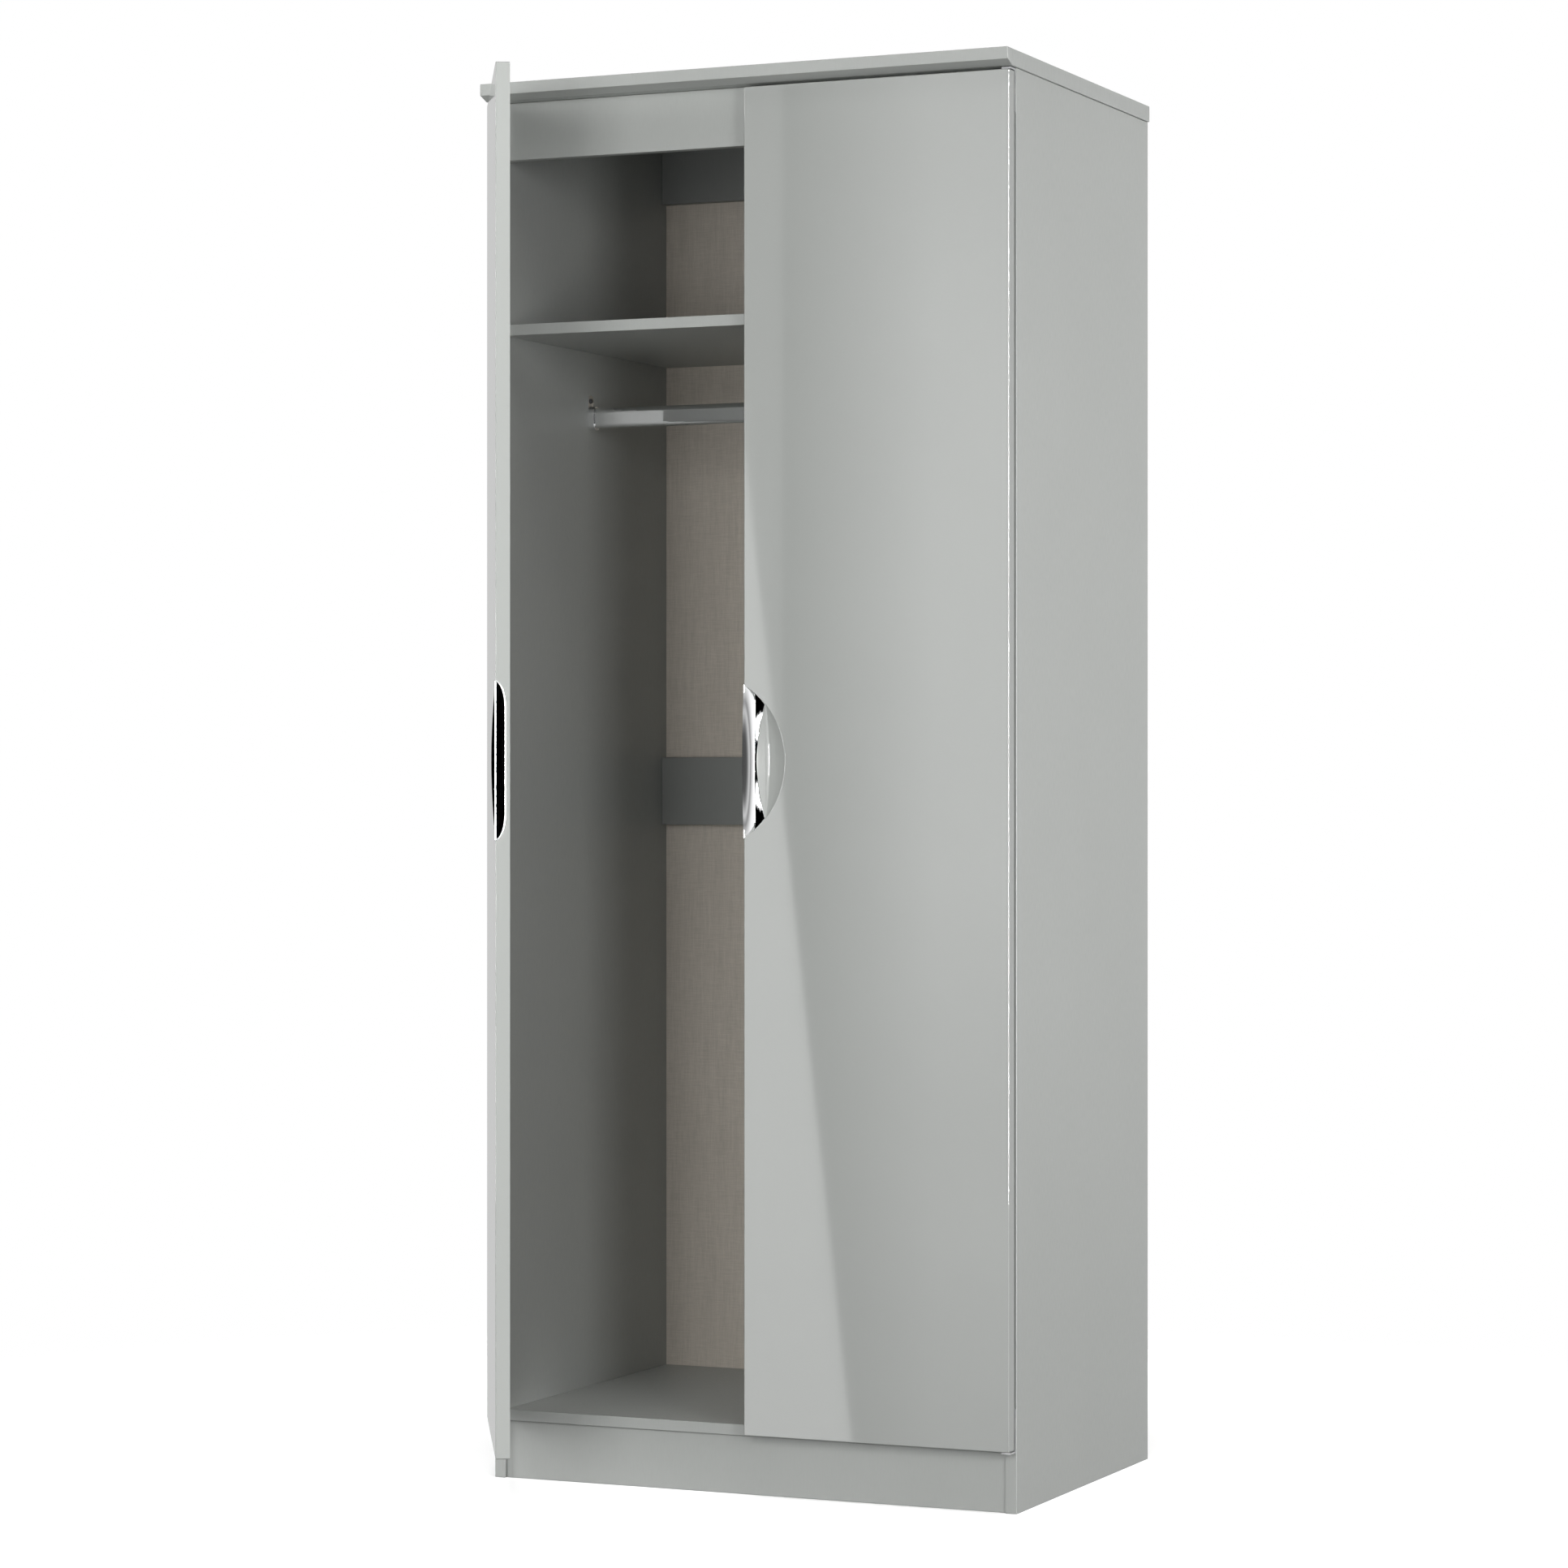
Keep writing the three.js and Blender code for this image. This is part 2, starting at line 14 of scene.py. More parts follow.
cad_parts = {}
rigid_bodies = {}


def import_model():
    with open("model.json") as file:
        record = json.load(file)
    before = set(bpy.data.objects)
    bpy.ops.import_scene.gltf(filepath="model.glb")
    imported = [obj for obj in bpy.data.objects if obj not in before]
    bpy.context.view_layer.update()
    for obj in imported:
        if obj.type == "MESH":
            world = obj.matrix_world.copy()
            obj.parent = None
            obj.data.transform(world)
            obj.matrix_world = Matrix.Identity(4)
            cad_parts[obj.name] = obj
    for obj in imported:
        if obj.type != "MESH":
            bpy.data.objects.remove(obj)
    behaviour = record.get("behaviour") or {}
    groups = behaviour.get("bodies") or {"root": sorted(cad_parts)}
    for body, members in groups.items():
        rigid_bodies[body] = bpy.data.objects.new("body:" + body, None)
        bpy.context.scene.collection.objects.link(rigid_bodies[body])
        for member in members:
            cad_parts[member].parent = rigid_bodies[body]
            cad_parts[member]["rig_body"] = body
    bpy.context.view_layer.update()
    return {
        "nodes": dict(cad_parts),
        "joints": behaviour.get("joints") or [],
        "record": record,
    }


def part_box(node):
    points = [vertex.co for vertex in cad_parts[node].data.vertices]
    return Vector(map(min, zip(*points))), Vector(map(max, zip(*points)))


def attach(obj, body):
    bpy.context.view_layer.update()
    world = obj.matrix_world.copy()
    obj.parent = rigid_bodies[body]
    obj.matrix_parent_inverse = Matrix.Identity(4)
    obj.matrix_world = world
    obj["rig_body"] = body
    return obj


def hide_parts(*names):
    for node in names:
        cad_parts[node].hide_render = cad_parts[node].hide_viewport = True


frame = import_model()
nodes = frame["nodes"]

# ---------------------------------------------------------------- places taken from the frame

MM = 0.001
left_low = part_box("left_side_panel")[0]
right_low, right_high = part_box("right_side_panel")
door_low, door_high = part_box("right_door")
CENTRE_X = (left_low.x + right_high.x) / 2
FRONT_Y = right_low.y
BACK_Y = right_high.y
DOOR_FACE = door_low.y
DOOR_BACK = door_high.y
DOOR_INNER = door_low.x - CENTRE_X                # meeting edge, from the centre line
DOOR_OUTER = door_high.x - CENTRE_X
DOOR_MIDDLE = (door_low.z + door_high.z) / 2
joints = {joint["name"]: joint for joint in frame["joints"]}
LEFT_OPEN = math.radians(-joints["left_door_hinge"]["range_deg"][0])
LEFT_PIVOT = Vector(joints["left_door_hinge"]["pos_m"])
SIDES = (("left", -1), ("right", 1))

# ---------------------------------------------------------------- sizes

TINY = 1e-6                                       # metres below which two places are the same
DOOR_EDGE_RADIUS = 1.5 * MM
DOOR_CORNER_RADIUS = 1.8 * MM
DOOR_BEVEL_SEGMENTS = 6
DOOR_CREASE = 40                                  # degrees between faces that show as an edge
HANDLE_HEIGHT = 195 * MM
HANDLE_WIDTH = 58 * MM
HANDLE_DEPTH = 12.3 * MM
HANDLE_RADIUS = (HANDLE_HEIGHT ** 2 / 4 + HANDLE_WIDTH ** 2) / (2 * HANDLE_WIDTH)
LIP_WIDTH = 13.3 * MM
LIP_PROUD = 5 * MM
SCOOP_START = 15.5 * MM                           # left of the scoop, at mid height
SCOOP_RADIUS = 183 * MM                           # of the arc that the chrome ends in
SCOOP_DEPTH = 8.5 * MM
SCOOP_WAVE = 0.714                                # share of a half wave that the scoop's profile follows
SCOOP_MIN_WIDTH = 0.1 * MM                        # a narrower scoop is left out
PLATE_END_RUN = 34 * MM                           # height over which the plate's ends are rounded
BED_GAP = 0.3 * MM                                # between the plate's back and the cut in the door
PLATE_MIN = 0.2 * MM                              # least thickness of the chrome piece
BEVEL_MIN = 0.5 * MM                              # least thickness at the bevel's far end
CHROME_CREASE = 11
LIP_TILT = 31.5                                   # degrees that the lip is turned inwards at the edge
LIP_FLAT = 2.7 * MM                               # how far the lip keeps that tilt
LIP_CURL = 900.0                                  # degrees per metre that it turns further after that
BEVEL_START = 4.4 * MM
BEVEL_TILT = 27.5
BLADE_FROM = 24 * MM                              # a blade's ends, in height from the handle's middle
BLADE_TO = 60 * MM
BLADE_MARGIN = 1.1 * MM
BLADE_TILT = 11.0
BLADE_SHARE = 0.88                                # of a blade's width, up to its ridge
BEAD_RADIUS = 0.7 * MM
BEAD_INSET = 0.25 * MM
BEAD_STEPS = 16
BEAD_CREASE = 50


# ---------------------------------------------------------------- node helpers

class Shader:
    """A small wrapper that makes and links the nodes of one material."""

    def __init__(self, name):
        self.material = bpy.data.materials.new(name)
        self.material.use_nodes = True
        self.tree = self.material.node_tree
        self.bsdf = self.tree.nodes["Principled BSDF"]

    def node(self, kind, settings=None, **inputs):
        made = self.tree.nodes.new(kind)
        for key, value in (settings or {}).items():
            setattr(made, key, value)
        for key, value in inputs.items():
            self.feed(made, key.replace("_", " "), value)
        return made

    def feed(self, node, key, value):
        socket = node.inputs[int(key)] if key.isdigit() else node.inputs[key]
        if isinstance(value, bpy.types.NodeSocket):
            self.tree.links.new(value, socket)
        else:
            socket.default_value = value

    def set(self, **inputs):
        for key, value in inputs.items():
            self.feed(self.bsdf, key.replace("_", " "), value)

    def math(self, operation, a, b=0.0, c=0.0):
        made = self.node("ShaderNodeMath", {"operation": operation})
        for index, value in enumerate((a, b, c)):
            self.feed(made, str(index), value)
        return made.outputs[0]

    def place(self, scale=(1, 1, 1)):
        local = self.node("ShaderNodeTexCoord").outputs["Object"]
        return self.node("ShaderNodeMapping", None, Vector=local, Scale=scale).outputs[0]

    def noise(self, scale, detail=2.0, stretch=(1, 1, 1)):
        made = self.node("ShaderNodeTexNoise", None, Vector=self.place(stretch), Scale=scale,
                         Detail=detail)
        return made.outputs["Fac"]

    def spread(self, value, low, high, from_low=0.0, from_high=1.0):
        """Stretches from_low..from_high to low..high and holds it there."""
        made = self.node("ShaderNodeMapRange", None, Value=value)
        made.inputs["From Min"].default_value = from_low
        made.inputs["From Max"].default_value = from_high
        made.inputs["To Min"].default_value = low
        made.inputs["To Max"].default_value = high
        return made.outputs["Result"]

    def mix(self, fac, a, b):
        made = self.node("ShaderNodeMix", {"data_type": "RGBA"})
        self.feed(made, "0", fac)
        self.feed(made, "6", a)
        self.feed(made, "7", b)
        return made.outputs[2]

    def bump(self, height, distance, strength):
        made = self.node("ShaderNodeBump", None, Height=height, Distance=distance, Strength=strength)
        return made.outputs[0]

    def clouded(self, cloud, low, high, dark, light):
        """A mix of two colours that follows a cloud between two of its levels."""
        return self.mix(self.spread(cloud, 0.0, 1.0, low, high), dark, light)


def grey(value, tint=(0.965, 1.0, 0.963)):
    return tuple(value * part for part in tint) + (1.0,)


# ---------------------------------------------------------------- materials

BACK_MARGIN = 12 * MM                             # faces this close to the wall count as the back
DOOR_GREY = 0.395
DOOR_EDGE_PAINTED_LIGHT_GREY = 0.56                             # painted light: the meeting edges are coloured lighter, a painted highlight for the softbox light and reflection on them
BOARD_GREY = 0.36
RAIL_GREY = 0.19
CHIP_DARK = (0.36, 0.25, 0.15, 1)
CHIP_PALE = (0.56, 0.43, 0.28, 1)
CHIP_GAP = (0.16, 0.10, 0.06, 1)
LINEN_DARK = (0.43, 0.395, 0.345, 1)
LINEN_PALE = (0.55, 0.505, 0.445, 1)
LINEN_CLOUD = (0.41, 0.375, 0.325, 1)
FIBRE_DARK = (0.20, 0.125, 0.07, 1)
FIBRE_PALE = (0.33, 0.22, 0.135, 1)
FIBRE_CLOUD = (0.15, 0.095, 0.055, 1)
CHROME_CLEAN = (0.93, 0.935, 0.94, 1)
CHROME_WIPED = (0.80, 0.81, 0.82, 1)
STEEL_DARK = (0.20, 0.205, 0.215, 1)
STEEL_PALE = (0.28, 0.28, 0.275, 1)
NYLON_DARK = (0.68, 0.67, 0.62, 1)
NYLON_PALE = (0.78, 0.77, 0.72, 1)
RUBBER_CLEAR = (0.93, 0.95, 0.95, 1)
RUBBER_CLOUD = (0.86, 0.88, 0.88, 1)
BEECH_DARK = (0.50, 0.31, 0.17, 1)
BEECH_PALE = (0.68, 0.47, 0.28, 1)
BEECH_FLECK = (0.36, 0.20, 0.10, 1)


def facing(shader, direction):
    """1 on faces that look straight along a direction, 0 elsewhere."""
    along = shader.node("ShaderNodeVectorMath", {"operation": "DOT_PRODUCT"})
    shader.feed(along, "0", shader.node("ShaderNodeTexCoord").outputs["Normal"])
    shader.feed(along, "1", direction)
    return shader.spread(along.outputs["Value"], 0.0, 1.0, 0.97, 0.99)


def gloss_door():
    """Gloss foil over a routed board: a faint orange peel under a clear top coat."""
    shader = Shader("gloss_door")
    cloud = shader.noise(5.0, 3.0)
    fleck = shader.noise(900.0, 1.0)
    colour = shader.clouded(cloud, 0.3, 0.7, grey(DOOR_GREY * 0.985), grey(DOOR_GREY * 1.015))
    colour = shader.mix(shader.spread(fleck, 0.0, 0.12, 0.45, 0.75), colour, grey(DOOR_GREY * 1.12))
    peel = shader.noise(260.0, 1.0)
    # Painted light: the doors' meeting edges get a lighter colour, a painted highlight that stands in for
    # the light and reflection falling on them.
    edge = shader.math("ADD", facing(shader, (math.cos(LEFT_OPEN), -math.sin(LEFT_OPEN), 0.0)),
                       facing(shader, (-1.0, 0.0, 0.0)))
    painted_edge_light = shader.mix(cloud, grey(DOOR_EDGE_PAINTED_LIGHT_GREY), grey(DOOR_EDGE_PAINTED_LIGHT_GREY * 1.04))
    colour = shader.mix(edge, colour, painted_edge_light)
    shader.set(
        Base_Color=colour,
        Roughness=shader.spread(cloud, 0.22, 0.30, 0.3, 0.7),
        Specular_IOR_Level=0.0,
        Coat_Weight=1.0,
        Coat_Roughness=0.035,
        Coat_IOR=1.5,
        Normal=shader.bump(peel, 0.00002, 0.25),
        Coat_Normal=shader.bump(peel, 0.000004, 0.15),
    )
    return shader.material


def facing_back(shader):
    """1 on faces that lie against the wall, 0 elsewhere."""
    split = shader.node("ShaderNodeSeparateXYZ", None,
                        Vector=shader.node("ShaderNodeTexCoord").outputs["Normal"])
    turned = shader.math("GREATER_THAN", split.outputs["Y"], 0.9)
    place = shader.node("ShaderNodeSeparateXYZ", None, Vector=shader.place())
    near = shader.math("GREATER_THAN", place.outputs["Y"], BACK_Y - BACK_MARGIN)
    return shader.math("MULTIPLY", turned, near)


def chip_colour(shader):
    """Raw chipboard: pale flakes and dark gaps pressed together."""
    flake = shader.node("ShaderNodeTexVoronoi", None, Vector=shader.place(), Scale=520.0)
    gap = shader.noise(380.0, 3.0)
    tone = shader.node("ShaderNodeSeparateColor", None, Color=flake.outputs["Color"])
    colour = shader.mix(tone.outputs[0], CHIP_DARK, CHIP_PALE)
    return shader.mix(shader.spread(gap, 0.0, 0.7, 0.58, 0.7), colour, CHIP_GAP)


def satin_board(name, level):
    """Satin foil with a barely raised fine grain. Back edges are left as raw chipboard."""
    shader = Shader(name)
    cloud = shader.noise(4.0, 3.0)
    pores = shader.noise(700.0, 2.0, (1, 1, 0.12))
    colour = shader.clouded(cloud, 0.3, 0.7, grey(level * 0.98), grey(level * 1.02))
    colour = shader.mix(shader.spread(pores, 0.0, 0.10, 0.45, 0.7), colour, grey(level * 0.8))
    raw = facing_back(shader)
    shader.set(
        Base_Color=shader.mix(raw, colour, chip_colour(shader)),
        Roughness=shader.math("MULTIPLY_ADD", raw, 0.4, shader.spread(pores, 0.38, 0.5, 0.3, 0.7)),
        Specular_IOR_Level=0.5,
        Normal=shader.bump(pores, 0.00003, 0.4),
    )
    return shader.material


def linen_board():
    """Thin hardboard, printed with a linen weave on the inside and raw brown fibre towards the wall."""
    shader = Shader("linen_board")
    warp = shader.noise(1.0, 2.0, (1400, 1, 60))
    weft = shader.noise(1.0, 2.0, (60, 1, 1400))
    slub = shader.noise(1.0, 3.0, (260, 1, 14))
    cloud = shader.noise(6.0, 3.0)
    weave = shader.math("MULTIPLY", shader.math("ADD", warp, weft), 0.5)
    cloth = shader.math("ADD", shader.math("MULTIPLY", weave, 0.75), shader.math("MULTIPLY", slub, 0.25))
    colour = shader.clouded(cloth, 0.38, 0.62, LINEN_DARK, LINEN_PALE)
    colour = shader.mix(shader.spread(cloud, 0.0, 0.2, 0.35, 0.7), colour, LINEN_CLOUD)
    fibre = shader.noise(700.0, 4.0)
    brown = shader.clouded(fibre, 0.35, 0.65, FIBRE_DARK, FIBRE_PALE)
    brown = shader.mix(shader.spread(cloud, 0.0, 0.35, 0.4, 0.7), brown, FIBRE_CLOUD)
    colour = shader.mix(facing_back(shader), colour, brown)
    shader.set(
        Base_Color=colour,
        Roughness=shader.spread(cloth, 0.75, 0.9, 0.4, 0.6),
        Specular_IOR_Level=0.2,
        Normal=shader.bump(cloth, 0.00008, 0.5),
    )
    return shader.material


def chrome(name, roughness, wear):
    """Polished plate with fine wiping marks."""
    shader = Shader(name)
    wipe = shader.noise(300.0, 2.0, (1, 1, 0.06))
    smudge = shader.noise(18.0, 3.0)
    shader.set(
        Base_Color=shader.mix(shader.spread(smudge, 0.0, wear, 0.35, 0.75), CHROME_CLEAN, CHROME_WIPED),
        Metallic=1.0,
        Roughness=shader.spread(wipe, roughness, roughness + 0.04, 0.35, 0.7),
        Normal=shader.bump(wipe, 0.000002, 0.2),
    )
    return shader.material


def hardware_steel():
    """Zinc-plated steel with a rolled, slightly cloudy surface."""
    shader = Shader("hardware_steel")
    rolled = shader.noise(400.0, 3.0, (1, 1, 0.08))
    cloud = shader.noise(60.0, 3.0)
    shader.set(
        Base_Color=shader.clouded(cloud, 0.3, 0.7, STEEL_DARK, STEEL_PALE),
        Metallic=1.0,
        Roughness=shader.spread(rolled, 0.38, 0.55, 0.3, 0.7),
        Normal=shader.bump(rolled, 0.00001, 0.4),
    )
    return shader.material


def bush_nylon():
    """Moulded nylon with a fine spark-eroded texture."""
    shader = Shader("bush_nylon")
    spark = shader.noise(1500.0, 2.0)
    cloud = shader.noise(90.0, 2.0)
    shader.set(
        Base_Color=shader.clouded(cloud, 0.3, 0.7, NYLON_DARK, NYLON_PALE),
        Roughness=shader.spread(spark, 0.42, 0.58, 0.3, 0.7),
        Normal=shader.bump(spark, 0.00002, 0.4),
    )
    return shader.material


def clear_rubber():
    """Clear soft plastic with a faint cloudiness."""
    shader = Shader("bumper_rubber")
    cloud = shader.noise(150.0, 2.0)
    shader.set(
        Base_Color=shader.mix(cloud, RUBBER_CLEAR, RUBBER_CLOUD),
        Roughness=shader.spread(cloud, 0.10, 0.22, 0.3, 0.7),
        Transmission_Weight=0.85,
        IOR=1.45,
        Normal=shader.bump(cloud, 0.00002, 0.3),
    )
    return shader.material


def dowel_beech():
    """Beech with short dark flecks along the dowel."""
    shader = Shader("dowel_beech")
    fibre = shader.noise(900.0, 3.0, (0.08, 1, 1))
    fleck = shader.noise(500.0, 1.0, (0.25, 1, 1))
    colour = shader.clouded(fibre, 0.35, 0.65, BEECH_DARK, BEECH_PALE)
    shader.set(
        Base_Color=shader.mix(shader.spread(fleck, 0.0, 0.6, 0.62, 0.72), colour, BEECH_FLECK),
        Roughness=shader.spread(fibre, 0.6, 0.75),
        Normal=shader.bump(fibre, 0.00005, 0.4),
    )
    return shader.material


MATERIALS = {
    "gloss_door": gloss_door(),
    "grey_board": satin_board("grey_board", BOARD_GREY),
    "dark_board": satin_board("dark_board", RAIL_GREY),
    "linen_board": linen_board(),
    "rail_chrome": chrome("rail_chrome", 0.03, 0.3),
    "handle_chrome": chrome("handle_chrome", 0.02, 0.1),
    "hardware_steel": hardware_steel(),
    "bush_nylon": bush_nylon(),
    "bumper_rubber": clear_rubber(),
    "dowel_beech": dowel_beech(),
}
SLOT_OF = {part["node"]: part["material_slot"] for part in frame["record"]["subparts"]}


# ---------------------------------------------------------------- mesh helpers

def new_object(name, mesh):
    made = bpy.data.objects.new(name, mesh)
    bpy.context.scene.collection.objects.link(made)
    return made


def mesh_object(name, build):
    """Makes an object whose mesh is filled in by build(bm)."""
    bm = bmesh.new()
    build(bm)
    bmesh.ops.recalc_face_normals(bm, faces=bm.faces)
    mesh = bpy.data.meshes.new(name)
    bm.to_mesh(mesh)
    bm.free()
    return new_object(name, mesh)


def apply_modifiers(made):
    bpy.context.view_layer.update()
    shown = made.evaluated_get(bpy.context.evaluated_depsgraph_get())
    mesh = bpy.data.meshes.new_from_object(shown)
    old = made.data
    made.modifiers.clear()
    made.data = mesh
    bpy.data.meshes.remove(old)


def smooth(made, angle):
    """Smooth shading that keeps edges sharper than an angle, with flat faces left flat."""
    for face in made.data.polygons:
        face.use_smooth = True
    made.data.set_sharp_from_angle(angle=math.radians(angle))
    weighted = made.modifiers.new("weighted", "WEIGHTED_NORMAL")
    weighted.keep_sharp = True
    apply_modifiers(made)


def settle(made, body, slot, *replaced):
    """Gives a finished piece the material of its slot and its body, and hides the CAD nodes that it stands
    for.
    """
    made.data.materials.clear()
    made.data.materials.append(MATERIALS[slot])
    if body == "left_door":
        turn = Matrix.Rotation(-LEFT_OPEN, 4, "Z")
        made.data.transform(Matrix.Translation(LEFT_PIVOT) @ turn @ Matrix.Translation(-LEFT_PIVOT))
    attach(made, body)
    if replaced:
        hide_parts(*replaced)


# ---------------------------------------------------------------- doors

def place_x(side, s):
    """x at a distance s from the meeting edge of a door, in its closed place."""
    return CENTRE_X + side * (DOOR_INNER + s)


def rim_reach(z):
    """How far the half-round handle reaches from the meeting edge, at a height from its middle."""
    return HANDLE_WIDTH - HANDLE_RADIUS + math.sqrt(max(HANDLE_RADIUS ** 2 - z ** 2, 0.0))


def scoop_reach(z):
    """Where the chrome ends and the scoop in the door starts, at a height from the middle."""
    return SCOOP_START + SCOOP_RADIUS - math.sqrt(SCOOP_RADIUS ** 2 - z ** 2)


def slab(side):
    """The door as a board with rounded edges, before its handle opening is cut."""
    ends = (place_x(side, 0), place_x(side, DOOR_OUTER - DOOR_INNER))
    low = Vector((min(ends), DOOR_FACE, door_low.z))
    high = Vector((max(ends), DOOR_BACK, door_high.z))

    def round_off(bm, edges, radius):
        bmesh.ops.bevel(bm, geom=edges, offset=radius, segments=DOOR_BEVEL_SEGMENTS, profile=0.5,
                        affect="EDGES")

    def in_front(edge):
        return all(abs(vert.co.y - low.y) < TINY for vert in edge.verts)

    def build(bm):
        bmesh.ops.create_cube(bm, size=1.0)
        for vert in bm.verts:
            vert.co = Vector(low[i] + (vert.co[i] + 0.5) * (high[i] - low[i]) for i in range(3))
        corners = [edge for edge in bm.edges if abs(edge.verts[0].co.y - edge.verts[1].co.y) > MM]
        round_off(bm, corners, DOOR_CORNER_RADIUS)
        round_off(bm, [edge for edge in bm.edges if in_front(edge)], DOOR_EDGE_RADIUS)

    return mesh_object("slab", build)


ROWS = 72
SCOOP_COLUMNS = 34
LIP_COLUMNS = 26
BEVEL_COLUMNS = 20
CUT_OVERLAP = 2 * MM
CUT_STEP = 0.1 * MM
CHROME_MARGIN = 0.02 * MM


def row_heights():
    """Heights from the middle of the handle, closer together towards its ends."""
    return [HANDLE_HEIGHT / 2 * math.sin(math.pi * (row / ROWS - 0.5)) for row in range(ROWS + 1)]


def scoop_depth(s, z):
    """Depth of the scoop under the door's face: steep beside the chrome, fading out at the far arc."""
    start = scoop_reach(z)
    end = rim_reach(z)
    if end - start < SCOOP_MIN_WIDTH:
        return 0.0
    across = min(max((end - s) / (end - start), 0.0), 1.0)
    along = (end - start) / (HANDLE_WIDTH - SCOOP_START)
    return SCOOP_DEPTH * along * math.sin(across * math.pi * SCOOP_WAVE)


def columns_across(spans, z):
    """Distances from the meeting edge at one height. A span is (start, end, columns)."""
    last = max(spans[-1][1](z), spans[0][0](z) + 1e-7)
    places = []
    for start, end, columns in spans:
        places += [start(z) + (end(z) - start(z)) * column / columns for column in range(columns)]
    places.append(last)
    return [min(max(place, spans[0][0](z)), last) for place in places]


def sheet_between(side, spans, top, bottom):
    """Builder of a closed solid over part of the half-round: top(s, z) and bottom(s, z) are depths."""
    def build(bm):
        grids = []
        for depth in (top, bottom):
            grid = []
            for z in row_heights():
                grid.append([
                    bm.verts.new((place_x(side, s), DOOR_FACE + depth(s, z), DOOR_MIDDLE + z))
                    for s in columns_across(spans, z)
                ])
            grids.append(grid)
        upper, lower = grids
        columns = len(upper[0]) - 1
        for row in range(ROWS):
            for column in range(columns):
                for grid in grids:
                    bm.faces.new((grid[row][column], grid[row][column + 1],
                                  grid[row + 1][column + 1], grid[row + 1][column]))
        for row in range(ROWS):
            for column in (0, columns):
                bm.faces.new((upper[row][column], upper[row + 1][column],
                              lower[row + 1][column], lower[row][column]))
        for column in range(columns):
            for row in (0, ROWS):
                bm.faces.new((upper[row][column], upper[row][column + 1],
                              lower[row][column + 1], lower[row][column]))
        bmesh.ops.remove_doubles(bm, verts=bm.verts, dist=2 * TINY)
        bmesh.ops.dissolve_degenerate(bm, edges=bm.edges, dist=TINY)

    return build


def opening_depth(s, z):
    """The cut in the door: the bed of the chrome piece, then the scoop."""
    if s < scoop_reach(z) - CUT_STEP / 2:
        return plate_depth(z) + BED_GAP
    return max(scoop_depth(s, z), 0.0)


def plate_depth(z):
    """Depth of the half-round plate on the door's meeting edge: flat, with rounded ends."""
    end = HANDLE_HEIGHT / 2 - abs(z)
    if end >= PLATE_END_RUN:
        return HANDLE_DEPTH
    return HANDLE_DEPTH * math.sqrt(max(1 - (1 - end / PLATE_END_RUN) ** 2, 0.0))


def door(side):
    made = slab(side)
    spans = [
        (lambda z: -CUT_OVERLAP, lambda z: scoop_reach(z) - CUT_STEP, 6),
        (lambda z: scoop_reach(z) - CUT_STEP, scoop_reach, 1),
        (scoop_reach, rim_reach, SCOOP_COLUMNS),
    ]
    cutter = mesh_object("cutter", sheet_between(side, spans, lambda s, z: -CUT_OVERLAP, opening_depth))
    cut = made.modifiers.new("cut", "BOOLEAN")
    cut.operation = "DIFFERENCE"
    cut.solver = "EXACT"
    cut.object = cutter
    apply_modifiers(made)
    bpy.data.objects.remove(cutter)
    smooth(made, DOOR_CREASE)
    return made


def lip_depth(s, z):
    """Depth of the lip: it bows out at mid height, starts flat and then curls inwards."""
    along = max(1 - (2 * z / HANDLE_HEIGHT) ** 2, 0.0)
    start, curl = math.radians(LIP_TILT), math.radians(LIP_CURL)
    drop = math.tan(start) * min(s, LIP_FLAT)
    if s > LIP_FLAT:
        reached = start + curl * (s - LIP_FLAT)
        drop += math.log(math.cos(start) / math.cos(reached)) / curl
    return drop - LIP_PROUD * along


def blade_height(s, z):
    """Height of the slim facets on the bevel, above and below the middle, that are turned less inwards."""
    along = (abs(z) - BLADE_FROM) / (BLADE_TO - BLADE_FROM)
    if not 0 < along < 1:
        return 0.0
    margin = BLADE_MARGIN / math.sqrt(math.sin(math.pi * along))
    start, end = LIP_WIDTH + margin, scoop_reach(z) - BLADE_MARGIN
    if not start < s < end:
        return 0.0
    ridge = start + BLADE_SHARE * (end - start)
    rise = math.tan(math.radians(BEVEL_TILT)) - math.tan(math.radians(BLADE_TILT))
    if s < ridge:
        return rise * (s - start)
    return rise * (ridge - start) * (end - s) / (end - ridge)


def chrome_top(s, z):
    """Depth of the chrome piece's visible side: its lip, then a flat bevel that runs into the scoop."""
    deepest = plate_depth(z) - PLATE_MIN
    if s <= LIP_WIDTH:
        return min(lip_depth(s, z), deepest)
    bevel = BEVEL_START + math.tan(math.radians(BEVEL_TILT)) * (s - LIP_WIDTH) - blade_height(s, z)
    return min(bevel, deepest, HANDLE_DEPTH - BEVEL_MIN)


def chrome_piece(side):
    def reach(z):
        return max(min(scoop_reach(z), rim_reach(z)) - CHROME_MARGIN, 0.0)

    spans = [
        (lambda z: 0.0, lambda z: LIP_WIDTH, LIP_COLUMNS),
        (lambda z: LIP_WIDTH, reach, BEVEL_COLUMNS),
    ]
    made = mesh_object("chrome", sheet_between(side, spans, chrome_top, lambda s, z: plate_depth(z)))
    smooth(made, CHROME_CREASE)
    return made


